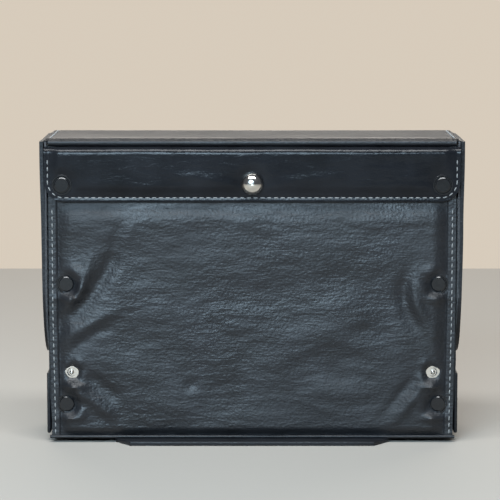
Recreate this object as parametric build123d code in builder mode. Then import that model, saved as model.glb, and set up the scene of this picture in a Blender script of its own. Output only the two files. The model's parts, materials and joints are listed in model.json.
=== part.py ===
"""A stiffened leather ever ready case for a folding camera, +Z up, in millimetres.

The case stands on its base.  Its back, with the snap flap, faces -Y and the lens nose faces +Y.
The origin is the middle of the underside of the whole case.
"""

import os
from math import acos, cos, sin

from build123d import *

os.makedirs("parts", exist_ok=True)

# Driving dimensions of the case
BODY_WIDTH = 178.5
BODY_DEPTH = 58.0
CASE_HEIGHT = 134.5
NOSE_WIDTH = 88.0
NOSE_HEIGHT = 74.0
NOSE_DEPTH = 12.0
NOSE_MIDDLE = 82.0
TONGUE_WIDTH = 121.0
TONGUE_REACH = 10.0
TONGUE_CORNER = 7.0
FLAP_OVERHANG = 1.75
FLAP_DROP = 25.4
FLAP_CORNER = 8.7
LIP_HEIGHT = 44.0
WING_DROP = 68.0
WING_CORNER = 30.0
PATCH_HEIGHT = 27.0

# Material thicknesses
LEATHER = 1.6
TONGUE_LEATHER = 1.8
WING_LEATHER = 1.6
FLAP_LEATHER = 1.2
BOARD = 1.6
BASE_BOARD = 3.4
LINING = 0.8
FLAP_LINING = 0.6
BASE_PAD = 2.0
NOSE_WALL = 1.8

# Clearances
LAYER_GAP = 1.4
FLAP_GAP = 1.2
HINGE_GAP = 4.0
SNAP_GAP = 0.4
RUNNING_GAP = 0.05
SEAT_GAP = 0.3

# Hardware
PIPING_RADIUS = 1.4
FLAP_PIVOT_GAP = 1.8
FLAP_PIVOT_EDGE = 1.0
DOME_RADIUS = 5.1
DOME_HEIGHT = 4.6
RIM_THICKNESS = 0.5
CAP_RADIUS = 4.45
CAP_GROOVE_RADIUS = 3.85
CAP_DISC_RADIUS = 3.3
CAP_RIM_HEIGHT = 0.5
CAP_DISC_HEIGHT = 1.1
POST_RADIUS = 1.2
WASHER_RADIUS = 3.6
WASHER_THICKNESS = 0.6
STUD_RADIUS = 1.5
STUD_HEIGHT = 0.9
SOCKET_RADIUS = 3.6
SOCKET_THICKNESS = 0.8
NICKEL_STUD_RADIUS = 3.35
NICKEL_STUD_RIM = 0.6
NICKEL_CUP_RADIUS = 1.9
NICKEL_CUP_DEPTH = 0.4
NICKEL_BALL_RADIUS = 0.95
NICKEL_BALL_HEIGHT = 1.7
SCREW_HEAD_RADIUS = 10.0
SCREW_HEAD_THICKNESS = 3.0
SCREW_SLOT_WIDTH = 1.8
SCREW_SLOT_DEPTH = 1.2
SCREW_NECK_RADIUS = 3.0
SCREW_THREAD_RADIUS = 3.175
SCREW_CHAMFER = 0.6
SCREW_RISE = 7.0
CLIP_RADIUS = 5.0
CLIP_THICKNESS = 0.6
CUP_WALL = 0.8
CUP_FLANGE = 2.2

# Places of the snaps: inset from the ends of the back, drop below the hood's pivot, height over the ground
DOME_DROP = 17.5
CORNER_CAP_INSET = 6.05
CORNER_CAP_DROP = 18.1
MID_CAP_INSET = 7.55
MID_CAP_Z = 70.4
LOW_CAP_INSET = 7.45
LOW_CAP_Z = 17.2
NICKEL_STUD_INSET = 9.65
NICKEL_STUD_Z = 31.3
FRONT_SNAP_DROP = 8.0

# Places worked out from the dimensions above
half_width = BODY_WIDTH / 2
back_y = TONGUE_REACH - (TONGUE_REACH + BODY_DEPTH + NOSE_DEPTH) / 2
front_y = back_y + BODY_DEPTH
base_z = TONGUE_LEATHER
board_z = base_z + LEATHER
pad_z = board_z + BASE_BOARD
floor_z = pad_z + BASE_PAD
board_y = back_y + LEATHER
lining_y = board_y + BOARD
inner_back_y = lining_y + LINING
hood_top_z = CASE_HEIGHT
hood_board_z = hood_top_z - LEATHER
hood_lining_z = hood_board_z - BOARD
hood_inner_z = hood_lining_z - LINING
pivot_z = hood_board_z - 0.5
pivot_y = back_y + LEATHER / 4
panel_top_z = pivot_z - PIPING_RADIUS
wall_inner_y = front_y - LEATHER
wall_lining_y = wall_inner_y - LINING
lip_outer_y = wall_lining_y - LAYER_GAP
lip_inner_y = lip_outer_y - LEATHER
lip_lining_y = lip_inner_y - LINING
side_inner = half_width - LEATHER
side_lining = side_inner - LINING
wing_lining_x = half_width + LAYER_GAP - LINING / 2
wing_inner = wing_lining_x + LINING
wing_outer = wing_inner + WING_LEATHER
wing_back_y = back_y + LEATHER
gusset_top_z = hood_inner_z - LAYER_GAP
flap_half_width = half_width + FLAP_OVERHANG
flap_inner_y = back_y - FLAP_GAP
flap_leather_y = flap_inner_y - FLAP_LINING
flap_outer_y = flap_leather_y - FLAP_LEATHER
flap_pivot_y = (flap_inner_y + flap_outer_y) / 2
flap_pivot_z = pivot_z - FLAP_PIVOT_GAP
flap_top_z = flap_pivot_z - FLAP_PIVOT_EDGE
flap_low_z = pivot_z - FLAP_DROP
screw_y = (inner_back_y + lip_lining_y) / 2
cup_radius = SCREW_HEAD_RADIUS + 1.0
cup_floor_z = base_z + SCREW_HEAD_THICKNESS + 0.8
front_snap_z = board_z + LIP_HEIGHT - FRONT_SNAP_DROP
wall_low_z = front_snap_z - CAP_RADIUS - 3.0


def plate_facing_back(y_low, y_high, x_half, z_low, z_high, corner=0.0):
    """An upright plate across the case, with its lower corners rounded by corner."""
    with BuildPart() as plate:
        with BuildSketch(Plane.XZ.offset(-y_high)):
            with Locations((0, (z_low + z_high) / 2)):
                Rectangle(2 * x_half, z_high - z_low)
            if corner:
                fillet(vertices().group_by(Axis.Z)[0], corner)
        extrude(amount=y_high - y_low)
    return plate


def plate_facing_up(z_low, z_high, x_half, y_low, y_high, corner=0.0):
    """A level plate, with its upright edges rounded by corner."""
    with BuildPart() as plate:
        with BuildSketch(Plane.XY.offset(z_low)):
            with Locations((0, (y_low + y_high) / 2)):
                Rectangle(2 * x_half, y_high - y_low)
            if corner:
                fillet(vertices(), corner)
        extrude(amount=z_high - z_low)
    return plate


def drill_back(plate, places, radius):
    """Round holes along Y through an upright plate."""
    with plate:
        with BuildSketch(Plane.XZ.offset(-front_y)) as holes:
            with Locations(*places):
                Circle(radius)
        extrude(holes.sketch, amount=BODY_DEPTH + 3 * NOSE_DEPTH, mode=Mode.SUBTRACT)


def drill_up(plate, radius):
    """A round hole along Z through a level plate, on the line of the camera screw."""
    with plate:
        with BuildSketch(Plane.XY) as hole:
            with Locations((0, screw_y)):
                Circle(radius)
        extrude(hole.sketch, amount=floor_z, mode=Mode.SUBTRACT)


def turned(profile, place_x, place_z, face_y):
    """Turned pieces that stand out of a face towards -Y, one at each x in place_x.

    profile is a list of (radius, height over the face) round the section.
    """
    with BuildPart() as piece:
        for x in place_x:
            with BuildSketch(Plane((x, face_y, place_z), x_dir=(1, 0, 0), z_dir=(0, 0, 1))):
                with BuildLine():
                    Polyline(*[(radius, -height) for radius, height in profile], close=True)
                make_face()
            revolve(axis=Axis((x, face_y, place_z), (0, 1, 0)))
    return piece


def finish_piece(piece, name):
    """Label a piece and write its file."""
    piece.part.label = name
    export_step(piece.part, "parts/" + name + ".step")


# Back of the half case: leather, board and lining, pierced by the snap posts
dome_z = pivot_z - DOME_DROP
corner_cap_x = half_width - CORNER_CAP_INSET
corner_cap_z = pivot_z - CORNER_CAP_DROP
mid_cap_x = half_width - MID_CAP_INSET
low_cap_x = half_width - LOW_CAP_INSET
nickel_stud_x = half_width - NICKEL_STUD_INSET
snap_places = [(0, dome_z)]
for snap_x, snap_z in (
    (corner_cap_x, corner_cap_z),
    (mid_cap_x, MID_CAP_Z),
    (low_cap_x, LOW_CAP_Z),
    (nickel_stud_x, NICKEL_STUD_Z),
):
    snap_places += [(-snap_x, snap_z), (snap_x, snap_z)]

back_panel = plate_facing_back(back_y, board_y, half_width, base_z, panel_top_z)
back_board = plate_facing_back(board_y, lining_y, side_lining - SEAT_GAP, board_z, panel_top_z - BOARD)
back_lining = plate_facing_back(lining_y, inner_back_y, side_lining - SEAT_GAP, pad_z, panel_top_z - BOARD)
for layer in (back_panel, back_board, back_lining):
    drill_back(layer, snap_places, POST_RADIUS)
finish_piece(back_panel, "back_panel")
finish_piece(back_board, "back_board")
finish_piece(back_lining, "back_lining")

# Base: leather, board and felt pad, with the well of the camera screw through them
bottom_leather = plate_facing_up(base_z, board_z, half_width - LEATHER, board_y, lip_outer_y)
bottom_board = plate_facing_up(board_z, pad_z, side_lining - SEAT_GAP, lining_y, lip_lining_y)
bottom_pad = plate_facing_up(pad_z, floor_z, side_lining - SEAT_GAP, inner_back_y, lip_lining_y)
drill_up(bottom_leather, cup_radius + CUP_WALL)
drill_up(bottom_board, cup_radius + CUP_WALL)
drill_up(bottom_pad, CLIP_RADIUS + 1.0)
finish_piece(bottom_leather, "bottom_leather")
finish_piece(bottom_board, "bottom_board")
finish_piece(bottom_pad, "bottom_pad")

# Tongue under the base, which carries the standing case
with BuildPart() as tongue:
    with BuildSketch(Plane.XY):
        with BuildLine():
            Polyline(
                (-TONGUE_WIDTH / 2, lip_outer_y),
                (-TONGUE_WIDTH / 2, back_y),
                (TONGUE_CORNER - TONGUE_WIDTH / 2, back_y - TONGUE_REACH),
                (TONGUE_WIDTH / 2 - TONGUE_CORNER, back_y - TONGUE_REACH),
                (TONGUE_WIDTH / 2, back_y),
                (TONGUE_WIDTH / 2, lip_outer_y),
                close=True,
            )
        make_face()
        with Locations((0, screw_y)):
            Circle(cup_radius + CUP_WALL + CUP_FLANGE + SEAT_GAP, mode=Mode.SUBTRACT)
    extrude(amount=TONGUE_LEATHER)
finish_piece(tongue, "tongue")

# Gussets at the two ends, their linings, and the turned up patches outside them
for side, sign in (("left", -1), ("right", 1)):
    with BuildPart() as gusset:
        with BuildSketch(Plane.YZ.offset(sign * side_inner)):
            with Locations(((board_y + lip_outer_y) / 2, (base_z + gusset_top_z) / 2)):
                Rectangle(lip_outer_y - board_y, gusset_top_z - base_z)
        extrude(amount=sign * LEATHER)
    finish_piece(gusset, "gusset_" + side)
    with BuildPart() as gusset_lining:
        with BuildSketch(Plane.YZ.offset(sign * side_lining)):
            with Locations(((board_y + lip_inner_y) / 2, (board_z + gusset_top_z) / 2)):
                Rectangle(lip_inner_y - board_y, gusset_top_z - board_z)
        extrude(amount=sign * LINING)
    finish_piece(gusset_lining, "gusset_lining_" + side)
    with BuildPart() as side_patch:
        with BuildSketch(Plane.YZ.offset(sign * half_width)):
            with Locations(((board_y + lip_outer_y) / 2, board_z + PATCH_HEIGHT / 2)):
                RectangleRounded(lip_outer_y - board_y - 2 * LEATHER, PATCH_HEIGHT, 3.0)
        extrude(amount=sign * LEATHER)
    finish_piece(side_patch, "side_patch_" + side)

# Low front lip and its lining
front_lip = plate_facing_back(lip_inner_y, lip_outer_y, side_inner, board_z, board_z + LIP_HEIGHT)
lip_lining = plate_facing_back(
    lip_lining_y, lip_inner_y, side_lining - SEAT_GAP, board_z, board_z + LIP_HEIGHT
)
for layer in (front_lip, lip_lining):
    drill_back(layer, [(0, front_snap_z)], POST_RADIUS)
finish_piece(front_lip, "front_lip")
finish_piece(lip_lining, "front_lip_lining")

# Round piping along the top edge of the back, on the line about which the hood swings
with BuildPart() as hinge_piping:
    with BuildSketch(Plane.YZ.offset(-half_width)):
        with Locations((pivot_y, pivot_z)):
            Circle(PIPING_RADIUS)
    extrude(amount=BODY_WIDTH)
finish_piece(hinge_piping, "hinge_piping")

# Snap pieces of the back: posts run through the layers and end in washers on the lining
through = back_y - inner_back_y


def snap_piece(outline):
    """The profile of a turned head with its post, which goes in as far as the washer."""
    return [(0, through)] + [(POST_RADIUS, through), (POST_RADIUS, 0)] + outline


stud_outline = [(STUD_RADIUS, 0), (STUD_RADIUS, STUD_HEIGHT - 0.3), (STUD_RADIUS - 0.4, STUD_HEIGHT),
                (0, STUD_HEIGHT)]
cap_outline = [(CAP_RADIUS, 0), (CAP_RADIUS, CAP_RIM_HEIGHT - 0.1), (CAP_RADIUS - 0.1, CAP_RIM_HEIGHT),
               (CAP_GROOVE_RADIUS, CAP_RIM_HEIGHT), (CAP_GROOVE_RADIUS - 0.2, CAP_RIM_HEIGHT / 2),
               (CAP_DISC_RADIUS, CAP_RIM_HEIGHT / 2), (CAP_DISC_RADIUS, CAP_DISC_HEIGHT - 0.3),
               (CAP_DISC_RADIUS - 0.4, CAP_DISC_HEIGHT), (0, CAP_DISC_HEIGHT)]
nickel_outline = [(NICKEL_STUD_RADIUS, 0), (NICKEL_STUD_RADIUS, NICKEL_STUD_RIM - 0.2),
                  (NICKEL_STUD_RADIUS - 0.3, NICKEL_STUD_RIM), (NICKEL_CUP_RADIUS, NICKEL_STUD_RIM),
                  (NICKEL_CUP_RADIUS, NICKEL_STUD_RIM - NICKEL_CUP_DEPTH),
                  (NICKEL_BALL_RADIUS, NICKEL_STUD_RIM - NICKEL_CUP_DEPTH),
                  (NICKEL_BALL_RADIUS, NICKEL_BALL_HEIGHT - 0.5),
                  (NICKEL_BALL_RADIUS - 0.4, NICKEL_BALL_HEIGHT - 0.1), (0, NICKEL_BALL_HEIGHT)]

finish_piece(turned(snap_piece(stud_outline), [0], dome_z, back_y), "centre_stud")
finish_piece(
    turned(snap_piece(stud_outline), [-corner_cap_x, corner_cap_x], corner_cap_z, back_y), "corner_studs"
)
finish_piece(turned(snap_piece(cap_outline), [-mid_cap_x, mid_cap_x], MID_CAP_Z, back_y), "mid_caps")
finish_piece(turned(snap_piece(cap_outline), [-low_cap_x, low_cap_x], LOW_CAP_Z, back_y), "low_caps")
finish_piece(
    turned(snap_piece(nickel_outline), [-nickel_stud_x, nickel_stud_x], NICKEL_STUD_Z, back_y),
    "nickel_studs",
)
with BuildPart() as post_washers:
    with BuildSketch(Plane.XZ.offset(-inner_back_y - WASHER_THICKNESS)):
        with Locations(*snap_places):
            Circle(WASHER_RADIUS)
    extrude(amount=WASHER_THICKNESS)
finish_piece(post_washers, "post_washers")

# Snap stud of the front lip
with BuildPart() as front_stud:
    with BuildSketch(Plane.XZ.offset(-lip_lining_y)):
        with Locations((0, front_snap_z)):
            Circle(POST_RADIUS)
    extrude(amount=lip_lining_y - lip_outer_y)
    with BuildSketch(Plane.XZ.offset(-lip_outer_y)):
        with Locations((0, front_snap_z)):
            Circle(STUD_RADIUS)
    extrude(amount=-(LAYER_GAP + LINING) / 2)
finish_piece(front_stud, "front_stud")

# Camera screw in its well
with BuildPart() as screw_cup:
    with BuildSketch(Plane.XZ.offset(-screw_y)):
        with BuildLine():
            Polyline(
                (cup_radius, base_z - CUP_WALL),
                (cup_radius + CUP_WALL + CUP_FLANGE, base_z - CUP_WALL),
                (cup_radius + CUP_WALL + CUP_FLANGE, base_z),
                (cup_radius + CUP_WALL, base_z),
                (cup_radius + CUP_WALL, cup_floor_z + CUP_WALL),
                (SCREW_NECK_RADIUS + RUNNING_GAP, cup_floor_z + CUP_WALL),
                (SCREW_NECK_RADIUS + RUNNING_GAP, cup_floor_z),
                (cup_radius, cup_floor_z),
                close=True,
            )
        make_face()
    revolve(axis=Axis((0, screw_y, 0), (0, 0, 1)))
finish_piece(screw_cup, "screw_cup")

head_top_z = cup_floor_z - 0.2
head_low_z = head_top_z - SCREW_HEAD_THICKNESS
clip_low_z = cup_floor_z + CUP_WALL + 0.2
with BuildPart() as camera_screw:
    with BuildSketch(Plane.XY.offset(head_low_z)):
        with Locations((0, screw_y)):
            Circle(SCREW_HEAD_RADIUS)
    extrude(amount=SCREW_HEAD_THICKNESS)
    with BuildSketch(Plane.XY.offset(head_top_z)):
        with Locations((0, screw_y)):
            Circle(SCREW_NECK_RADIUS)
    extrude(amount=floor_z - head_top_z)
    with BuildSketch(Plane.XY.offset(floor_z)):
        with Locations((0, screw_y)):
            Circle(SCREW_THREAD_RADIUS)
    extrude(amount=SCREW_RISE)
    chamfer(edges().filter_by(GeomType.CIRCLE).sort_by(Axis.Z)[-1], SCREW_CHAMFER)
    with BuildSketch(Plane.XY.offset(head_low_z)):
        with Locations((0, screw_y)):
            Rectangle(2 * SCREW_HEAD_RADIUS, SCREW_SLOT_WIDTH)
    extrude(amount=SCREW_SLOT_DEPTH, mode=Mode.SUBTRACT)
finish_piece(camera_screw, "camera_screw")
with BuildPart() as screw_clip:
    with BuildSketch(Plane.XY.offset(clip_low_z)):
        with Locations((0, screw_y)):
            Circle(CLIP_RADIUS)
            Circle(SCREW_NECK_RADIUS, mode=Mode.SUBTRACT)
    extrude(amount=CLIP_THICKNESS)
finish_piece(screw_clip, "screw_clip")

# Hood: top, two wings, front wall and lens nose
hood_back_y = pivot_y + HINGE_GAP
hood_top = plate_facing_up(hood_board_z, hood_top_z, wing_outer, hood_back_y, front_y)
hood_top_board = plate_facing_up(hood_lining_z, hood_board_z, wing_lining_x, hood_back_y, wall_lining_y)
hood_top_lining = plate_facing_up(hood_inner_z, hood_lining_z, wing_lining_x, hood_back_y, wall_lining_y)
finish_piece(hood_top, "hood_top")
finish_piece(hood_top_board, "hood_top_board")
finish_piece(hood_top_lining, "hood_top_lining")


def wing_layer(inner_x, thickness, front_edge):
    """One layer of a hood side: straight down its rear edge, then round and forward to the front wall."""
    low_z = hood_top_z - WING_DROP
    with BuildPart() as layer:
        with BuildSketch(Plane.YZ.offset(inner_x)):
            with BuildLine():
                rear = Line((wing_back_y, hood_board_z), (wing_back_y, low_z))
                corner = RadiusArc(rear @ 1, (wing_back_y + WING_CORNER, low_z - WING_CORNER), -WING_CORNER)
                Polyline(
                    corner @ 1,
                    (front_edge - 1.0, wall_low_z),
                    (front_edge, wall_low_z),
                    (front_edge, hood_board_z),
                    rear @ 0,
                )
            make_face()
        extrude(amount=thickness)
    return layer


for side, sign in (("left", -1), ("right", 1)):
    finish_piece(wing_layer(sign * wing_inner, sign * WING_LEATHER, front_y), "wing_" + side)
    finish_piece(
        wing_layer(sign * wing_lining_x, sign * LINING, wall_lining_y), "wing_lining_" + side
    )


def front_plate(y_low, y_high, x_half, hole_margin):
    """A front wall layer with the window into the lens nose."""
    with BuildPart() as plate:
        with BuildSketch(Plane.XZ.offset(-y_high)):
            with Locations((0, (wall_low_z + hood_board_z) / 2)):
                Rectangle(2 * x_half, hood_board_z - wall_low_z)
            with Locations((0, NOSE_MIDDLE)):
                RectangleRounded(
                    NOSE_WIDTH - 2 * hole_margin, NOSE_HEIGHT - 2 * hole_margin, 6.0, mode=Mode.SUBTRACT
                )
            with Locations((0, front_snap_z)):
                Circle(POST_RADIUS, mode=Mode.SUBTRACT)
        extrude(amount=y_high - y_low)
    return plate


front_wall = front_plate(wall_inner_y, front_y, wing_inner, NOSE_WALL + 2.2)
front_lining = front_plate(wall_lining_y, wall_inner_y, wing_inner, NOSE_WALL + 2.2)
finish_piece(front_wall, "front_wall")
finish_piece(front_lining, "front_wall_lining")

with BuildPart() as nose_shell:
    with BuildSketch(Plane.XZ.offset(-front_y)):
        with Locations((0, NOSE_MIDDLE)):
            RectangleRounded(NOSE_WIDTH, NOSE_HEIGHT, 10.0)
    extrude(amount=-NOSE_DEPTH)
    fillet(faces().sort_by(Axis.Y)[-1].edges(), 4.0)
    with BuildSketch(Plane.XZ.offset(-front_y)):
        with Locations((0, NOSE_MIDDLE)):
            RectangleRounded(NOSE_WIDTH - 2 * NOSE_WALL, NOSE_HEIGHT - 2 * NOSE_WALL, 10.0 - NOSE_WALL)
    extrude(amount=-(NOSE_DEPTH - NOSE_WALL), mode=Mode.SUBTRACT)
finish_piece(nose_shell, "nose_shell")

# Front snap of the hood
with BuildPart() as front_cap:
    with BuildSketch(Plane.XZ.offset(-wall_lining_y)):
        with Locations((0, front_snap_z)):
            Circle(POST_RADIUS)
    extrude(amount=wall_lining_y - front_y)
    with BuildSketch(Plane.XZ.offset(-front_y)):
        with Locations((0, front_snap_z)):
            Circle(CAP_RADIUS)
    extrude(amount=-CAP_DISC_HEIGHT)
    fillet(edges().sort_by(Axis.Y)[-1], 0.6)
finish_piece(front_cap, "front_cap")

# Snap flap of the back, with its dome cap, corner caps and sockets
flap_places = [(0, dome_z), (-corner_cap_x, corner_cap_z), (corner_cap_x, corner_cap_z)]
flap_leather = plate_facing_back(
    flap_outer_y, flap_leather_y, flap_half_width, flap_low_z, flap_top_z, FLAP_CORNER
)
flap_lining = plate_facing_back(
    flap_leather_y, flap_inner_y, flap_half_width, flap_low_z, flap_top_z, FLAP_CORNER
)
for layer in (flap_leather, flap_lining):
    drill_back(layer, flap_places, POST_RADIUS)
finish_piece(flap_leather, "flap_leather")
finish_piece(flap_lining, "flap_lining")
flap_through = flap_outer_y - flap_inner_y

dome_ball = (DOME_RADIUS**2 + DOME_HEIGHT**2) / (2 * DOME_HEIGHT)
dome_half_angle = acos((dome_ball - DOME_HEIGHT) / dome_ball) / 2
dome_middle_height = RIM_THICKNESS + DOME_HEIGHT - dome_ball * (1 - cos(dome_half_angle))
with BuildPart() as dome_cap:
    with BuildSketch(Plane((0, flap_outer_y, dome_z), x_dir=(1, 0, 0), z_dir=(0, 0, 1))):
        with BuildLine():
            Polyline(
                (0, -RIM_THICKNESS - DOME_HEIGHT),
                (0, -flap_through),
                (POST_RADIUS, -flap_through),
                (POST_RADIUS, 0),
                (DOME_RADIUS, 0),
                (DOME_RADIUS, -RIM_THICKNESS),
            )
            ThreePointArc(
                (DOME_RADIUS, -RIM_THICKNESS),
                (dome_ball * sin(dome_half_angle), -dome_middle_height),
                (0, -RIM_THICKNESS - DOME_HEIGHT),
            )
        make_face()
    revolve(axis=Axis((0, flap_outer_y, dome_z), (0, 1, 0)))
finish_piece(dome_cap, "dome_cap")
flap_cap_outline = [(0, flap_through), (POST_RADIUS, flap_through), (POST_RADIUS, 0)] + cap_outline
finish_piece(
    turned(flap_cap_outline, [-corner_cap_x, corner_cap_x], corner_cap_z, flap_outer_y),
    "flap_corner_caps",
)


def socket_rings(places):
    """Socket rings under the flap, round the studs with the snap's clearance."""
    with BuildPart() as rings:
        with BuildSketch(Plane.XZ.offset(-flap_inner_y - SOCKET_THICKNESS)):
            with Locations(*places):
                Circle(SOCKET_RADIUS)
                Circle(STUD_RADIUS + SNAP_GAP, mode=Mode.SUBTRACT)
        extrude(amount=SOCKET_THICKNESS)
    return rings


finish_piece(socket_rings(flap_places[:1]), "dome_socket")
finish_piece(socket_rings(flap_places[1:]), "corner_sockets")

# Piping along the bottom edge of the back
with BuildPart() as bottom_bead:
    with BuildSketch(Plane.YZ.offset(-half_width)):
        with Locations((back_y - PIPING_RADIUS / 2, base_z + PIPING_RADIUS / 2)):
            Circle(PIPING_RADIUS / 2)
    extrude(amount=BODY_WIDTH)
finish_piece(bottom_bead, "bottom_bead")
print("hood pivot", pivot_y, pivot_z, "flap pivot", flap_pivot_y, flap_pivot_z)
print("screw", screw_y, floor_z, floor_z + SCREW_RISE, "inner", inner_back_y, lip_lining_y, hood_inner_z)
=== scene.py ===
"""Looks of a black leather ever ready case, around its fixed frame, in metres.

The back of the case, with its snap flap, faces -Y.
"""

import json
import math

import bpy
import numpy as np
from mathutils import Matrix, Vector, noise


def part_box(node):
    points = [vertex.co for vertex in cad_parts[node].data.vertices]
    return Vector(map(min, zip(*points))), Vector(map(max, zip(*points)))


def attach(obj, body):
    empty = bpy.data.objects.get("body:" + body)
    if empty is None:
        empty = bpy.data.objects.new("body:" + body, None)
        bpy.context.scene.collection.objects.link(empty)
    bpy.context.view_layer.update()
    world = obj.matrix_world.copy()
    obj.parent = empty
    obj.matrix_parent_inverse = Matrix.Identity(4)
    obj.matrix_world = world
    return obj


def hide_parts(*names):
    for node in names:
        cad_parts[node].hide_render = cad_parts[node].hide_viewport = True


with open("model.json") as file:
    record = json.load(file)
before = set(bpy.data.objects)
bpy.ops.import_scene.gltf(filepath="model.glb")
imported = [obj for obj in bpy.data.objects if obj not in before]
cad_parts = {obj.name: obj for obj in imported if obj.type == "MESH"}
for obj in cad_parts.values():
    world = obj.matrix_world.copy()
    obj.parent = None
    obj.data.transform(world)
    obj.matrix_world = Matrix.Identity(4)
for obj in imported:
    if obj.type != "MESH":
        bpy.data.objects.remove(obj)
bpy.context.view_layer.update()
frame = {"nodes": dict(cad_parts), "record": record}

MM = 0.001

# Thickness of each leather layer
PANEL_THICK = 1.5 * MM
FLAP_THICK = 1.1 * MM
TOP_THICK = 1.4 * MM
WING_THICK = 1.6 * MM
GUSSET_THICK = 1.5 * MM

# Back leather: a raised seam margin down each side and a puffed field between them
MARGIN = 3.6 * MM
MARGIN_STEP = 0.5 * MM
MARGIN_RISE = 0.75 * MM
PANEL_PUFF = 2.2 * MM
PANEL_SHOULDER = 6 * MM
PANEL_INSET = 0.2 * MM
FOOT_START = 1.6 * MM
FOOT_SHOULDER = 3.5 * MM
UNDER_FLAP_START = 98 * MM
UNDER_FLAP_RUN = 9 * MM
UNDER_FLAP_SINK = 0.75
DEEPEST_RELIEF = -0.2 * MM
CREASE_GAIN = 1.6
PUCKER_GAIN = 1.3
PLEATS_ROUND_SNAP = 5

# The half case narrows by this share, below this level and over this height
FOOT_NARROWING = 0.009
NARROWING_TOP = 66 * MM
NARROWING_RUN = 60 * MM

# Snap flap, with the reach in mm of the flat seats round its dome and its corner caps
FLAP_PUFF = 0.9 * MM
FLAP_CORNER = 8.7 * MM
FLAP_ROLL = 3.0 * MM
FLAP_RIM = 2.6 * MM
FLAP_SHOULDER = 4.5 * MM
DOME_SEAT = 6.5
CORNER_SEAT = 6.0

# Hood sides, and the patches turned up over the ends of the half case
WING_DROP = 68 * MM
WING_CORNER = 30 * MM
PATCH_BEVEL = 0.6 * MM

# Stitching, and the groove that it pulls into the leather
STITCH_INSET = 1.6 * MM
STITCH_PITCH = 2.95 * MM
STITCH_LENGTH = 2.1 * MM
STITCH_THICK = 0.55 * MM
ROW_END_GAP = 4 * MM
GROOVE_WIDTH = 0.7 * MM

SHEET_STEP = 1.0 * MM
TABLE_EDGE = 0.62


# ---------------------------------------------------------------- making pieces

def activate(piece):
    """Select one piece alone and make it active."""
    bpy.ops.object.select_all(action="DESELECT")
    piece.select_set(True)
    bpy.context.view_layer.objects.active = piece


def apply_modifier(piece, kind, **settings):
    """Add one modifier with its settings and apply it."""
    activate(piece)
    modifier = piece.modifiers.new(kind.title(), kind)
    for key, value in settings.items():
        setattr(modifier, key, value)
    bpy.ops.object.modifier_apply(modifier=modifier.name)


def put_on(piece, body, material, slot, *nodes):
    """Give a piece its material and say which body it rides on and which nodes it stands for."""
    piece.data.materials.clear()
    piece.data.materials.append(material)
    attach(piece, body)
    if nodes:
        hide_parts(*nodes)


def smooth(piece, angle=40):
    """Shade a piece smooth, apart from its sharp edges."""
    activate(piece)
    bpy.ops.object.shade_smooth_by_angle(angle=math.radians(angle))


def sheet(name, columns, rows):
    """A flat sheet of quads, one unit wide, centred on the origin."""
    bpy.ops.object.select_all(action="DESELECT")
    bpy.ops.mesh.primitive_grid_add(x_subdivisions=columns, y_subdivisions=rows, size=1)
    piece = bpy.context.object
    piece.name = name
    piece.data.name = name
    return piece


def shape_sheet(piece, place):
    """Move every point of a unit sheet to place(u, v), where u and v are arrays from 0 to 1."""
    count = len(piece.data.vertices)
    flat = np.empty(count * 3)
    piece.data.vertices.foreach_get("co", flat)
    flat = flat.reshape(-1, 3)
    moved = np.stack(place(flat[:, 0] + 0.5, flat[:, 1] + 0.5), axis=1)
    piece.data.vertices.foreach_set("co", moved.ravel())
    piece.data.update()


def thicken(piece, thickness, outward):
    """Turn a sheet into a closed leather layer whose outer face keeps its place."""
    activate(piece)
    bpy.ops.object.mode_set(mode="EDIT")
    bpy.ops.mesh.select_all(action="SELECT")
    bpy.ops.mesh.normals_make_consistent(inside=False)
    bpy.ops.object.mode_set(mode="OBJECT")
    middle = len(piece.data.polygons) // 2
    if piece.data.polygons[middle].normal.dot(Vector(outward)) < 0:
        piece.data.flip_normals()
    apply_modifier(piece, "SOLIDIFY", thickness=thickness, offset=-1, use_even_offset=False)
    smooth(piece, 55)


def ease(value):
    """A smooth step from 0 to 1."""
    value = np.clip(value, 0, 1)
    return value * value * (3 - 2 * value)


def crowd_ends(share, strength):
    """Spread evenly placed shares so that more of them lie near both ends."""
    return share - strength * np.sin(2 * np.pi * share) / (2 * np.pi)


def foot_taper(z):
    """The width of the half case at a height, as a share of its full width."""
    return 1 - FOOT_NARROWING * ease((NARROWING_TOP - z) / NARROWING_RUN)


def bump_at(x, z, cx, cz, wide, tall):
    """A soft round hill of height 1 at a place."""
    return np.exp(-((x - cx) / wide) ** 2 - ((z - cz) / tall) ** 2)


def fold(x, z, start, bend, end, width):
    """A ridge of height 1 along a curved line, fading at both ends, with its points and width in mm."""
    best = np.full(x.shape, 1e9)
    fade = np.zeros(x.shape)
    for share in np.linspace(0, 1, 25):
        px = (1 - share) ** 2 * start[0] + 2 * share * (1 - share) * bend[0] + share ** 2 * end[0]
        pz = (1 - share) ** 2 * start[1] + 2 * share * (1 - share) * bend[1] + share ** 2 * end[1]
        gap = (x - px * MM) ** 2 + (z - pz * MM) ** 2
        nearer = gap < best
        best = np.where(nearer, gap, best)
        fade = np.where(nearer, math.sin(math.pi * (0.04 + 0.92 * share)), fade)
    return np.exp(-best / (width * MM) ** 2) * fade


def ripple(x, z, step_x, step_z, seed):
    """Smooth uneven swells from -1 to 1."""
    values = [noise.noise(Vector((a / step_x, b / step_z, seed))) for a, b in zip(x, z)]
    return np.array(values)


# ---------------------------------------------------------------- materials

def new_material(name):
    """A material with its Principled shader, ready for nodes."""
    material = bpy.data.materials.new(name)
    material.use_nodes = True
    return material, material.node_tree.nodes["Principled BSDF"]


def link(tree, source, target):
    tree.links.new(source, target)


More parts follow.
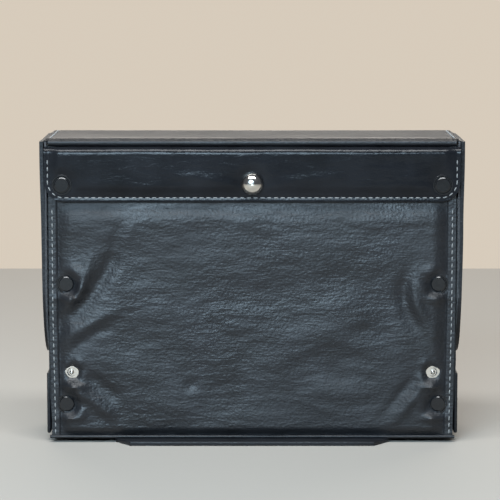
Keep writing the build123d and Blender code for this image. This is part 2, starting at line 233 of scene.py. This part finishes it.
def hide_grain_group():
    """Leather grain: fine pebbles, lying creases and faint rubbed patches."""
    group = bpy.data.node_groups.new("hide_grain", "ShaderNodeTree")
    face = group.interface
    for name, default in (("Pebble Scale", 900.0), ("Crease Scale", 260.0), ("Crease Share", 0.5)):
        socket = face.new_socket(name, in_out="INPUT", socket_type="NodeSocketFloat")
        socket.default_value = default
    for name in ("Height", "Rub", "Tone"):
        face.new_socket(name, in_out="OUTPUT", socket_type="NodeSocketFloat")
    nodes = group.nodes
    inlet = nodes.new("NodeGroupInput")
    outlet = nodes.new("NodeGroupOutput")
    coordinates = nodes.new("ShaderNodeTexCoord")
    pebbles = nodes.new("ShaderNodeTexVoronoi")
    pebbles.feature = "SMOOTH_F1"
    link(group, coordinates.outputs["Object"], pebbles.inputs["Vector"])
    link(group, inlet.outputs["Pebble Scale"], pebbles.inputs["Scale"])
    stretch = nodes.new("ShaderNodeMapping")
    stretch.inputs["Scale"].default_value = (0.5, 1.0, 1.8)
    stretch.inputs["Rotation"].default_value = (0.0, 0.12, 0.0)
    link(group, coordinates.outputs["Object"], stretch.inputs["Vector"])
    creases = nodes.new("ShaderNodeTexNoise")
    creases.inputs["Detail"].default_value = 6.0
    creases.inputs["Roughness"].default_value = 0.62
    creases.inputs["Distortion"].default_value = 0.6
    link(group, stretch.outputs["Vector"], creases.inputs["Vector"])
    link(group, inlet.outputs["Crease Scale"], creases.inputs["Scale"])
    blend = nodes.new("ShaderNodeMix")
    link(group, inlet.outputs["Crease Share"], blend.inputs[0])
    link(group, pebbles.outputs["Distance"], blend.inputs[2])
    link(group, creases.outputs["Fac"], blend.inputs[3])
    link(group, blend.outputs[0], outlet.inputs["Height"])
    patches = nodes.new("ShaderNodeTexNoise")
    patches.inputs["Scale"].default_value = 22.0
    patches.inputs["Detail"].default_value = 5.0
    link(group, coordinates.outputs["Object"], patches.inputs["Vector"])
    link(group, patches.outputs["Fac"], outlet.inputs["Rub"])
    cloud = nodes.new("ShaderNodeTexNoise")
    cloud.inputs["Scale"].default_value = 60.0
    cloud.inputs["Detail"].default_value = 3.0
    link(group, coordinates.outputs["Object"], cloud.inputs["Vector"])
    link(group, cloud.outputs["Fac"], outlet.inputs["Tone"])
    return group


GRAIN = hide_grain_group()


def ramp(tree, source, low, high):
    """Turn a share from 0.3 to 0.7 into a run between two colours or two greys."""
    node = tree.nodes.new("ShaderNodeValToRGB")
    node.color_ramp.elements[0].position = 0.3
    node.color_ramp.elements[0].color = low
    node.color_ramp.elements[1].position = 0.7
    node.color_ramp.elements[1].color = high
    link(tree, source, node.inputs["Fac"])
    return node.outputs["Color"]


def grey(value):
    return (value, value, value, 1)


def leather(name, dark, light, rough_low, rough_high, grain_depth, crease_share, shine):
    """Black hide: dark colour that varies, a sheen as strong as its shine, and its grain."""
    material, shader = new_material(name)
    tree = material.node_tree
    grain = tree.nodes.new("ShaderNodeGroup")
    grain.node_tree = GRAIN
    grain.inputs["Crease Share"].default_value = crease_share
    link(tree, ramp(tree, grain.outputs["Tone"], dark, light), shader.inputs["Base Color"])
    roughness = ramp(tree, grain.outputs["Rub"], grey(rough_low), grey(rough_high))
    link(tree, roughness, shader.inputs["Roughness"])
    bump = tree.nodes.new("ShaderNodeBump")
    bump.inputs["Strength"].default_value = 1.0
    bump.inputs["Distance"].default_value = grain_depth
    link(tree, grain.outputs["Height"], bump.inputs["Height"])
    link(tree, bump.outputs["Normal"], shader.inputs["Normal"])
    shader.inputs["Specular IOR Level"].default_value = shine
    return material


def metal(name, colour, rough_low, rough_high, metallic=1.0):
    """Plated metal, or enamel where metallic is 0, with faint handling marks."""
    material, shader = new_material(name)
    tree = material.node_tree
    coordinates = tree.nodes.new("ShaderNodeTexCoord")
    marks = tree.nodes.new("ShaderNodeTexNoise")
    marks.inputs["Scale"].default_value = 420.0
    marks.inputs["Detail"].default_value = 5.0
    link(tree, coordinates.outputs["Object"], marks.inputs["Vector"])
    roughness = ramp(tree, marks.outputs["Fac"], grey(rough_low), grey(rough_high))
    link(tree, roughness, shader.inputs["Roughness"])
    darker = tuple(part * 0.86 for part in colour[:3]) + (1,)
    link(tree, ramp(tree, marks.outputs["Fac"], colour, darker), shader.inputs["Base Color"])
    shader.inputs["Metallic"].default_value = metallic
    return material


def fibrous(name, dark, light, scale, depth):
    """Felt, card or thread: a dull surface of fine fibres."""
    material, shader = new_material(name)
    tree = material.node_tree
    coordinates = tree.nodes.new("ShaderNodeTexCoord")
    fibres = tree.nodes.new("ShaderNodeTexNoise")
    fibres.inputs["Scale"].default_value = scale
    fibres.inputs["Detail"].default_value = 8.0
    link(tree, coordinates.outputs["Object"], fibres.inputs["Vector"])
    link(tree, ramp(tree, fibres.outputs["Fac"], dark, light), shader.inputs["Base Color"])
    bump = tree.nodes.new("ShaderNodeBump")
    bump.inputs["Distance"].default_value = depth
    link(tree, fibres.outputs["Fac"], bump.inputs["Height"])
    link(tree, bump.outputs["Normal"], shader.inputs["Normal"])
    shader.inputs["Roughness"].default_value = 0.9
    shader.inputs["Sheen Weight"].default_value = 0.3
    return material


HIDE_DARK = (0.006, 0.0065, 0.008, 1)
HIDE_LIGHT = (0.012, 0.013, 0.016, 1)
panel_hide = leather("panel_hide", HIDE_DARK, HIDE_LIGHT, 0.31, 0.58, 0.00055, 0.75, 0.5)
flap_hide = leather("flap_hide", HIDE_DARK, HIDE_LIGHT, 0.17, 0.25, 0.00016, 0.75, 0.2)
edge_hide = leather("edge_hide", HIDE_DARK, HIDE_LIGHT, 0.36, 0.48, 0.00030, 0.6, 0.35)
top_hide = leather("top_hide", HIDE_DARK, HIDE_LIGHT, 0.28, 0.38, 0.00030, 0.6, 0.5)
felt = fibrous("charcoal_felt", (0.03, 0.03, 0.033, 1), (0.075, 0.075, 0.08, 1), 1400.0, 0.0003)
card = fibrous("stiff_card", (0.25, 0.19, 0.13, 1), (0.36, 0.29, 0.2, 1), 700.0, 0.0001)
thread = fibrous("pale_thread", (0.16, 0.16, 0.16, 1), (0.32, 0.32, 0.31, 1), 2600.0, 0.0001)
nickel = metal("nickel_plate", (0.80, 0.76, 0.70, 1), 0.10, 0.24)
enamel = metal("black_enamel", (0.008, 0.008, 0.009, 1), 0.14, 0.24, metallic=0.0)
steel = metal("turned_steel", (0.55, 0.55, 0.56, 1), 0.25, 0.4)

FINISH_OF_SLOT = {
    "case_leather": edge_hide,
    "felt_lining": felt,
    "stiffener_card": card,
    "black_enamel": enamel,
    "nickel": nickel,
    "screw_metal": steel,
}


def finish_frame_nodes():
    """Every node of the frame takes the finish of its slot."""
    for part in frame["record"]["subparts"]:
        slots = frame["nodes"][part["node"]].data.materials
        slots.clear()
        slots.append(FINISH_OF_SLOT[part["material_slot"]])


finish_frame_nodes()


# ---------------------------------------------------------------- places read from the frame

def low(node):
    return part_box(node)[0]


def high(node):
    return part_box(node)[1]


panel_low, panel_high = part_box("back_panel")
flap_low, flap_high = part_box("flap_leather")
top_low, top_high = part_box("hood_top")
BACK = panel_low[1]
HALF = panel_high[0]


def pair_centre(node, radius):
    """The x and z of the right hand one of a mirrored pair of turned pieces."""
    return high(node)[0] - radius, (low(node)[2] + high(node)[2]) / 2


CAP_RADIUS = (high("mid_caps")[2] - low("mid_caps")[2]) / 2
STUD_RADIUS = (high("nickel_studs")[2] - low("nickel_studs")[2]) / 2
MID = pair_centre("mid_caps", CAP_RADIUS)
LOW = pair_centre("low_caps", CAP_RADIUS)
STUD = pair_centre("nickel_studs", STUD_RADIUS)
CORNER = pair_centre("flap_corner_caps", CAP_RADIUS)
DOME_Z = (low("dome_cap")[2] + high("dome_cap")[2]) / 2


# ---------------------------------------------------------------- back panel

# The snaps of the right side, mirrored on the left: place, reach of the flat seat and pucker height, in mm
PANEL_SNAPS = ((MID, 5.8, 0.75), (LOW, 5.6, 0.7), (STUD, 4.2, 0.45))

# Each crease: its height, then its start, bend and end as (x, z), and its width, in mm
LEFT_CREASES = (
    (0.9, (-70, 86), (-76, 60), (-86, 58), 2.6),
    (-1.1, (-57, 97), (-62, 69), (-87, 50), 3.6),
    (0.6, (-87, 43), (-74, 52), (-56, 61), 2.8),
    (-0.6, (-83, 36), (-77, 46), (-60, 53), 2.8),
    (1.0, (-83, 27), (-74, 22), (-60, 10), 2.8),
    (-0.5, (-80, 34), (-68, 28), (-56, 15), 3.0),
)
RIGHT_CREASES = (
    (0.9, (74, 78), (66, 64), (80, 50), 3.0),
    (-0.7, (70, 79), (60, 62), (78, 44), 3.2),
    (0.9, (78, 29), (72, 19), (62, 9), 2.4),
    (-0.5, (73, 31), (66, 22), (56, 10), 2.2),
    (0.45, (20, 28), (40, 20), (58, 24), 3.6),
    (0.40, (28, 50), (48, 40), (62, 44), 4.0),
)
SMALL_CREASES = (
    (-0.45, (-30, 24), (-27, 27), (-24, 25), 2.4),
    (0.35, (-50, 100), (-56, 92), (-60, 82), 3.0),
)


def panel_relief(x, z):
    """How far the back leather stands out of its flat plane."""
    edge = HALF - np.abs(x)
    from_low = z - panel_low[2]
    margin = ease((MARGIN - edge) / MARGIN_STEP + 0.5)
    inner = ease((edge - MARGIN - MARGIN_STEP) / PANEL_SHOULDER)
    foot = ease((from_low - FOOT_START) / FOOT_SHOULDER)
    under_flap = 1 - UNDER_FLAP_SINK * ease((z - UNDER_FLAP_START) / UNDER_FLAP_RUN)
    relief = PANEL_PUFF * inner ** 0.6 * foot ** 0.7 * under_flap
    relief += MARGIN_RISE * margin
    swell = ripple(x, z, 26 * MM, 19 * MM, 3.1) * MM
    lying_grain = ripple(x, z, 9 * MM, 3.6 * MM, 9.7) * 0.22 * MM
    fine_grain = ripple(x, z, 4 * MM, 1.8 * MM, 2.2) * 0.07 * MM
    relief += (swell + (lying_grain + fine_grain)) * inner * foot * under_flap
    folds = np.zeros(x.shape)
    for height, start, bend, end, width in LEFT_CREASES + RIGHT_CREASES + SMALL_CREASES:
        folds += height * fold(x, z, start, bend, end, width)
    relief += CREASE_GAIN * folds * MM * ease(edge / PANEL_SHOULDER) * foot
    for side in (-1, 1):
        for (cx, cz), reach, rim in PANEL_SNAPS:
            away = np.hypot(x - side * cx, z - cz)
            angle = np.arctan2(z - cz, x - side * cx)
            seat = np.exp(-(away / (reach * 0.85 * MM)) ** 4)
            relief *= 1 - seat
            ring = np.exp(-((away - reach * 1.25 * MM) / (2.4 * MM)) ** 2)
            pleats = 0.55 + 0.45 * np.sin(PLEATS_ROUND_SNAP * angle + 2.1 * cz / MM)
            relief += rim * MM * ring * pleats * inner * PUCKER_GAIN
            relief += 1.3 * MM * bump_at(x, z, side * (cx - 1 * MM), cz - 6.2 * MM, 5.5 * MM, 1.3 * MM)
    return np.maximum(relief, DEEPEST_RELIEF)


def make_back_panel():
    """The back leather: seam margins, puffed field, puckers round the snaps and handling creases."""
    columns = int((panel_high[0] - panel_low[0]) / SHEET_STEP) + 30
    rows = int((panel_high[2] - panel_low[2]) / SHEET_STEP)
    piece = sheet("back_panel_hide", columns, rows)
    width = panel_high[0] - panel_low[0]
    height = panel_high[2] - panel_low[2] - 2 * PANEL_INSET

    def place(u, v):
        x = panel_low[0] + width * crowd_ends(u, 0.35)
        z = panel_low[2] + PANEL_INSET + height * crowd_ends(v, 0.2)
        y = BACK - panel_relief(x, z)
        return x * foot_taper(z), y, z

    shape_sheet(piece, place)
    thicken(piece, PANEL_THICK, (0, -1, 0))
    put_on(piece, "half_case", panel_hide, "case_leather", "back_panel")


# ---------------------------------------------------------------- snap flap

def flap_relief(x, z):
    """How far the flap leather stands out of its flat plane."""
    edge = flap_high[0] - np.abs(x)
    from_low = z - flap_low[2]
    rim = np.minimum(edge, from_low)
    inner = ease((rim - FLAP_RIM) / FLAP_SHOULDER)
    groove = np.exp(-((rim - STITCH_INSET - 0.2 * MM) / GROOVE_WIDTH) ** 2)
    relief = FLAP_PUFF * inner - 0.25 * MM * groove
    relief += ripple(x, z, 30 * MM, 9 * MM, 5.3) * 0.3 * MM * inner
    relief += ripple(x, z, 8 * MM, 3 * MM, 1.9) * 0.06 * MM * inner
    cap_x, cap_z = CORNER
    seats = [(0.0, DOME_Z, DOME_SEAT)]
    seats += [(side * cap_x, cap_z, CORNER_SEAT) for side in (-1, 1)]
    for cx, cz, reach in seats:
        away = np.hypot(x - cx, z - cz)
        relief *= 1 - np.exp(-(away / (reach * MM)) ** 4)
    relief += 0.30 * MM * fold(x, z, (8, 114), (26, 119), (44, 117), 2.4)
    relief += 0.30 * MM * fold(x, z, (-8, 114), (-24, 119), (-40, 118), 2.4)
    return relief


def make_flap():
    """The flap: puffed hide with rounded lower corners, rolled over at its upper edge."""
    columns = int((flap_high[0] - flap_low[0]) / SHEET_STEP) + 20
    piece = sheet("flap_hide_piece", columns, 44)
    straight_top = flap_high[2] - FLAP_ROLL + 1.2 * MM
    length = straight_top - flap_low[2] + FLAP_ROLL * math.pi / 2

    def place(u, v):
        x = flap_low[0] + (flap_high[0] - flap_low[0]) * crowd_ends(u, 0.3)
        run = length * crowd_ends(v, 0.25)
        side = np.maximum(np.abs(x) - (flap_high[0] - FLAP_CORNER), 0)
        rise = FLAP_CORNER - np.sqrt(np.maximum(FLAP_CORNER ** 2 - side ** 2, 0))
        run = rise + run * (length - rise) / length
        over = np.maximum(run - (straight_top - flap_low[2]), 0) / FLAP_ROLL
        z = flap_low[2] + np.minimum(run, straight_top - flap_low[2]) + FLAP_ROLL * np.sin(over)
        back = FLAP_ROLL * (1 - np.cos(over))
        y = flap_low[1] - flap_relief(x, flap_low[2] + run) * (1 - 0.5 * over / (math.pi / 2)) + back
        return x, y, z

    shape_sheet(piece, place)
    thicken(piece, FLAP_THICK, (0, -1, 0))
    put_on(piece, "flap", flap_hide, "case_leather", "flap_leather")


# ---------------------------------------------------------------- hood and sides

def make_hood_top():
    """The top of the hood, crowned a little, with soft edges."""
    piece = sheet("hood_top_hide", 150, 60)
    x_low, x_high = top_low[0] + 1.0 * MM, top_high[0] - 1.0 * MM
    y_low, y_high = high("hinge_piping")[1] + 0.1 * MM, top_high[1]
    corner = 3.0 * MM

    def place(u, v):
        x = x_low + (x_high - x_low) * crowd_ends(u, 0.5)
        y = y_low + (y_high - y_low) * crowd_ends(v, 0.5)
        rim = np.minimum(np.minimum(x - x_low, x_high - x), np.minimum(y - y_low, y_high - y))
        drop = 0.9 * MM * (1 - ease(rim / (1.6 * MM)))
        groove = 0.22 * MM * np.exp(-((rim - 3.0 * MM) / GROOVE_WIDTH) ** 2)
        swell = ripple(x, y, 30 * MM, 18 * MM, 7.7) * 0.18 * MM * ease(rim / (8 * MM))
        inset = np.maximum(corner - (y_high - y), 0) ** 2 / (2 * corner)
        x = x - np.sign(x) * inset * (np.abs(x) > x_high - 6 * MM)
        return x, y, top_high[2] - 0.2 * MM - drop - groove + swell

    shape_sheet(piece, place)
    thicken(piece, TOP_THICK, (0, 0, 1))
    put_on(piece, "hood", top_hide, "case_leather", "hood_top")


def make_wing(side, sign):
    """One side of the hood: a flared leather sheet with a round rear lower corner."""
    node = "wing_" + side
    node_low, node_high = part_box(node)
    rear_low = top_high[2] - WING_DROP
    piece = sheet("wing_hide_" + side, 60, 90)
    outer = node_high[0] if sign > 0 else node_low[0]

    def place(u, v):
        y = node_low[1] + (node_high[1] - node_low[1]) * crowd_ends(u, 0.3) ** 1.3
        along = np.clip(WING_CORNER - (y - node_low[1]), 0, WING_CORNER)
        z_low = rear_low - np.sqrt(np.maximum(WING_CORNER ** 2 - along ** 2, 0))
        front_run = node_high[1] - node_low[1] - WING_CORNER
        front_share = np.clip((y - node_low[1] - WING_CORNER) / front_run, 0, 1)
        z_low = z_low + front_share * (node_low[2] - (rear_low - WING_CORNER))
        z = z_low + (node_high[2] - z_low) * v
        flare = 0.5 * MM * ease((z - 95 * MM) / (35 * MM)) - 0.5 * MM * ease((95 * MM - z) / (40 * MM))
        swell = ripple(y, z, 18 * MM, 22 * MM, 4.2 + sign) * 0.35 * MM
        return outer + sign * (flare + swell * 0.6), y, z

    shape_sheet(piece, place)
    thicken(piece, WING_THICK, (sign, 0, 0))
    put_on(piece, "hood", edge_hide, "case_leather", node)


def make_gusset(side, sign):
    """One end of the half case: leather that bellies out low down and draws in at the base."""
    node = "gusset_" + side
    node_low, node_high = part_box(node)
    piece = sheet("gusset_hide_" + side, 50, 100)
    outer = node_high[0] if sign > 0 else node_low[0]

    def place(u, v):
        y = node_low[1] + (node_high[1] - node_low[1]) * u
        z = node_low[2] + (node_high[2] - node_low[2]) * v
        belly = MM * np.exp(-((z - 38 * MM) / (16 * MM)) ** 2)
        taper = -0.9 * MM * ease((26 * MM - z) / (24 * MM))
        swell = ripple(y, z, 15 * MM, 15 * MM, 8.2 + sign) * 0.25 * MM
        return outer + sign * (belly * 0.5 + taper + swell * ease((60 * MM - z) / (20 * MM))), y, z

    shape_sheet(piece, place)
    thicken(piece, GUSSET_THICK, (sign, 0, 0))
    put_on(piece, "half_case", edge_hide, "case_leather", node)


def rounded_block(name, node, bevel, body, material):
    """A leather patch with soft edges, in the place of its node."""
    node_low, node_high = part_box(node)
    middle = [(a + b) / 2 for a, b in zip(node_low, node_high)]
    bpy.ops.object.select_all(action="DESELECT")
    bpy.ops.mesh.primitive_cube_add(size=1, location=(0, 0, 0))
    piece = bpy.context.object
    piece.name = name
    size = [b - a for a, b in zip(node_low, node_high)]
    piece.data.transform(Matrix.Translation(middle) @ Matrix.Diagonal((*size, 1)))
    apply_modifier(piece, "BEVEL", width=bevel, segments=4)
    smooth(piece, 50)
    put_on(piece, body, material, "case_leather", node)


def make_tongue():
    """The tongue under the base: a trapezoid of hide with soft edges and the hole of the screw well."""
    source = frame["nodes"]["tongue"]
    bpy.ops.object.select_all(action="DESELECT")
    piece = source.copy()
    piece.data = source.data.copy()
    piece.name = "tongue_hide"
    bpy.context.collection.objects.link(piece)
    activate(piece)
    bpy.ops.object.mode_set(mode="EDIT")
    bpy.ops.mesh.select_all(action="SELECT")
    bpy.ops.mesh.remove_doubles(threshold=0.00001)
    bpy.ops.mesh.dissolve_limited(angle_limit=math.radians(2))
    bpy.ops.object.mode_set(mode="OBJECT")
    apply_modifier(piece, "BEVEL", width=0.35 * MM, segments=3, limit_method="ANGLE")
    smooth(piece, 40)
    piece.parent = None
    put_on(piece, "half_case", edge_hide, "case_leather", "tongue")


# ---------------------------------------------------------------- stitching

def stitch_model():
    """One stitch of thread, along X, with its ends sunk into the leather."""
    bpy.ops.object.select_all(action="DESELECT")
    bpy.ops.mesh.primitive_uv_sphere_add(segments=8, ring_count=6, radius=1)
    piece = bpy.context.object
    activate(piece)
    for point in piece.data.vertices:
        along, across, up = point.co
        sunk = 0.35 * along * along
        point.co = (along * STITCH_LENGTH / 2, across * STITCH_THICK / 2, (up - sunk) * STITCH_THICK / 2)
    return piece


def stitch_row(name, places, body):
    """Copies of one stitch, each with its place, direction and outward side, joined into one piece."""
    model = stitch_model()
    copies = []
    for place, along, out in places:
        copy = model.copy()
        copy.data = model.data.copy()
        bpy.context.collection.objects.link(copy)
        along = Vector(along).normalized()
        out = Vector(out).normalized()
        across = out.cross(along)
        turn = Matrix((along, across, out)).transposed().to_4x4()
        copy.data.transform(Matrix.Translation(place) @ turn)
        copies.append(copy)
    bpy.data.objects.remove(model)
    bpy.ops.object.select_all(action="DESELECT")
    for copy in copies:
        copy.select_set(True)
    bpy.context.view_layer.objects.active = copies[0]
    bpy.ops.object.join()
    row = bpy.context.object
    row.name = name
    smooth(row, 60)
    put_on(row, body, thread, "case_leather")


def back_stitches():
    """Two rows of stitches up the seam margins of the back."""
    places = []
    rise = panel_low[2] + 3.0 * MM
    while rise < flap_low[2] - 2 * MM:
        for sign in (-1, 1):
            x = np.array([sign * (HALF - STITCH_INSET)])
            out = BACK - float(panel_relief(x, np.array([rise]))[0])
            place = (x[0] * foot_taper(rise), out - 0.12 * MM, rise)
            places.append((place, (0.06 * sign, 0, 1), (0, -1, 0)))
        rise += STITCH_PITCH
    stitch_row("back_stitching", places, "half_case")


def flap_stitches():
    """One row of stitches down one side of the flap, along its lower edge and up the other side."""
    half = flap_high[0] - STITCH_INSET
    radius = FLAP_CORNER - STITCH_INSET
    row_top = flap_high[2] - ROW_END_GAP
    side_run = row_top - (flap_low[2] + FLAP_CORNER)
    arc = radius * math.pi / 2
    flat = 2 * (half - radius)
    total = 2 * side_run + 2 * arc + flat
    count = int(total / STITCH_PITCH)
    places = []
    for step in range(count):
        run = (step + 0.5) * total / count
        if run < side_run:
            x, z, along = -half, row_top - run, (0, 0, -1)
        elif run < side_run + arc:
            angle = (run - side_run) / radius
            x = -half + radius - radius * math.cos(angle)
            z = flap_low[2] + FLAP_CORNER - radius * math.sin(angle)
            along = (math.sin(angle), 0, -math.cos(angle))
        elif run < side_run + arc + flat:
            x = -half + radius + run - side_run - arc
            z = flap_low[2] + STITCH_INSET
            along = (1, 0, 0)
        elif run < side_run + 2 * arc + flat:
            angle = (run - side_run - arc - flat) / radius
            x = half - radius + radius * math.sin(angle)
            z = flap_low[2] + STITCH_INSET + radius - radius * math.cos(angle)
            along = (math.cos(angle), 0, math.sin(angle))
        else:
            x = half
            z = flap_low[2] + FLAP_CORNER + run - side_run - 2 * arc - flat
            along = (0, 0, 1)
        out = flap_low[1] - float(flap_relief(np.array([x]), np.array([z]))[0])
        places.append(((x, out - 0.10 * MM, z), along, (0, -1, 0)))
    stitch_row("flap_stitching", places, "flap")


def top_stitches():
    """Rows of stitches along both side edges of the hood top."""
    places = []
    half = top_high[0] - 4.0 * MM
    y = high("hinge_piping")[1] + ROW_END_GAP
    while y < top_high[1] - ROW_END_GAP:
        for sign in (-1, 1):
            place = (sign * half, y, top_high[2] - 0.25 * MM)
            places.append((place, (0, 1, 0), (0, 0, 1)))
        y += STITCH_PITCH
    stitch_row("top_stitching", places, "hood")


make_back_panel()
make_flap()
make_hood_top()
for side_name, side_sign in (("left", -1), ("right", 1)):
    make_wing(side_name, side_sign)
    make_gusset(side_name, side_sign)
    patch = "side_patch_" + side_name
    rounded_block("side_patch_hide_" + side_name, patch, PATCH_BEVEL, "half_case", edge_hide)
make_tongue()
back_stitches()
flap_stitches()
top_stitches()


# ---------------------------------------------------------------- floor, light and camera

def make_stage():
    """A plain pale table top that ends behind the case."""
    bpy.ops.object.select_all(action="DESELECT")
    bpy.ops.mesh.primitive_plane_add(size=6, location=(0, TABLE_EDGE - 3, 0))
    floor = bpy.context.object
    floor.name = "floor"
    material, shader = new_material("pale_floor")
    shader.inputs["Base Color"].default_value = (0.40, 0.37, 0.33, 1)
    shader.inputs["Roughness"].default_value = 0.8
    floor.data.materials.append(material)


def add_lamp(name, place, target, size, power, colour=(1, 1, 1)):
    """A soft rectangular lamp that looks at a target."""
    data = bpy.data.lights.new(name, "AREA")
    data.shape = "RECTANGLE"
    data.size, data.size_y = size
    data.energy = power
    data.color = colour
    lamp = bpy.data.objects.new(name, data)
    bpy.context.collection.objects.link(lamp)
    lamp.location = place
    lamp.rotation_euler = (Vector(target) - Vector(place)).to_track_quat("-Z", "Y").to_euler()


def make_light():
    """Plain soft studio light: a window in front and above, one lamp overhead and one behind."""
    world = bpy.data.worlds.new("studio")
    world.use_nodes = True
    bpy.context.scene.world = world
    tree = world.node_tree
    around = tree.nodes["Background"]
    around.inputs["Color"].default_value = (0.80, 0.87, 1.0, 1)
    around.inputs["Strength"].default_value = 0.10
    behind = tree.nodes.new("ShaderNodeBackground")
    behind.inputs["Color"].default_value = (0.68, 0.60, 0.50, 1)
    path = tree.nodes.new("ShaderNodeLightPath")
    choice = tree.nodes.new("ShaderNodeMixShader")
    link(tree, path.outputs["Is Camera Ray"], choice.inputs["Fac"])
    link(tree, around.outputs["Background"], choice.inputs[1])
    link(tree, behind.outputs["Background"], choice.inputs[2])
    link(tree, choice.outputs["Shader"], tree.nodes["World Output"].inputs["Surface"])
    add_lamp("window", (-0.28, -1.35, 0.62), (0, 0, 0.05), (0.8, 0.4), 24, (0.62, 0.83, 1.0))
    add_lamp("overhead", (-0.05, -0.36, 0.95), (0, 0, 0.08), (0.9, 0.25), 11, (0.95, 0.98, 1.0))
    add_lamp("back_top", (0.1, 1.0, 0.8), (0, 0, 0.12), (1.4, 0.5), 9, (1.0, 0.93, 0.84))


def make_camera():
    """A long lens a little above the case, square to its back."""
    distance = 1.15
    height = 0.2141
    pitch = math.radians(6.37)
    data = bpy.data.cameras.new("camera")
    data.sensor_width = 36
    data.lens = 190.4
    camera = bpy.data.objects.new("camera", data)
    bpy.context.collection.objects.link(camera)
    camera.location = (-1 * MM, flap_low[1] - distance, height)
    camera.rotation_euler = (math.pi / 2 - pitch, 0, 0)
    bpy.context.scene.camera = camera


make_stage()
make_light()
make_camera()
bpy.context.scene.view_settings.view_transform = "Standard"
